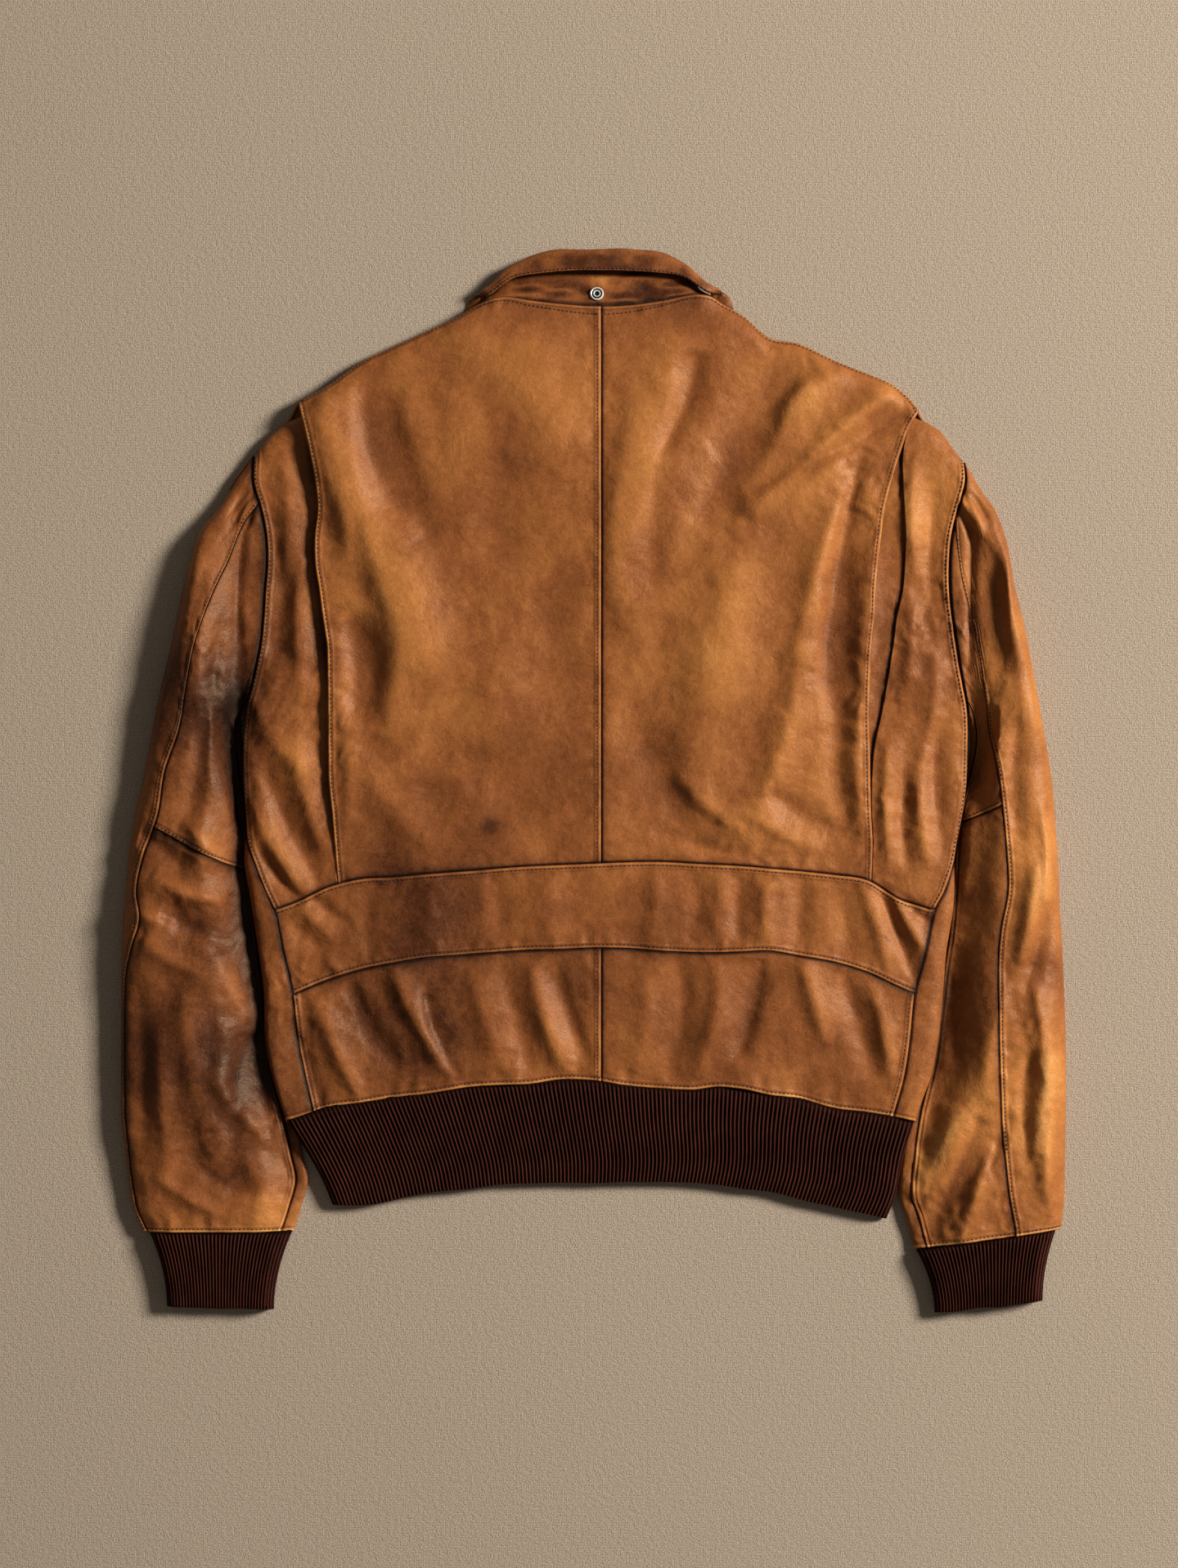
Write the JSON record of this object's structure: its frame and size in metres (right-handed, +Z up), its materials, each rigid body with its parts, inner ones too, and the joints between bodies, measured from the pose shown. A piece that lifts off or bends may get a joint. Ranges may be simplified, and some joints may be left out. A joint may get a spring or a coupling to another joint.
{
  "type": "worn leather jacket",
  "caption": "Worn tan-brown leather flight jacket, laid face down with its sleeves beside it: action back, half belt, shirt collar, ribbed hem and cuffs.",
  "frame": {"origin": "middle of the garment's outline, on the surface that it lies on", "axes": "+Y up the back, from the ribbed hem to the collar; +Z up out of the back, which shows; +X to the right of someone looking at the back, which is the wearer's right"},
  "size_m": [0.695, 0.7822, 0.0278],
  "materials": {
    "leather": "worn, semi-matt, creased, rubbed light at the seams",
    "knit": "matt wool rib knit",
    "tape": "matt woven cotton tape",
    "brass": "aged, satin",
    "nickel": "worn, satin"
  },
  "bodies": {
    "jacket": {"back_left": "leather", "back_right": "leather", "belt_back": "leather", "collar_leaf": "leather", "collar_snap": "nickel", "collar_stand": "leather", "cuff_left": "knit", "cuff_right": "knit", "front_left": "leather", "front_right": "leather", "hem_rib": "knit", "lower_back_left": "leather", "lower_back_right": "leather", "pleat_left": "leather", "pleat_right": "leather", "side_back_left": "leather", "side_back_right": "leather", "sleeve_top_left": "leather", "sleeve_top_right": "leather", "sleeve_under_lower_left": "leather", "sleeve_under_lower_right": "leather", "sleeve_under_upper_left": "leather", "sleeve_under_upper_right": "leather", "zip_chain": "brass", "zip_slider": "brass", "zip_tape_left": "tape", "zip_tape_right": "tape"},
    "pull_tab": {"zip_pull_tab": "brass"}
  },
  "joints": [
    {"name": "pull_tab_swing", "type": "hinge", "parent": "jacket", "child": "pull_tab", "pos_m": [0.0028, 0.2697, 0.001], "axis": [1, 0, 0], "range_deg": [0, 170]}
  ]
}
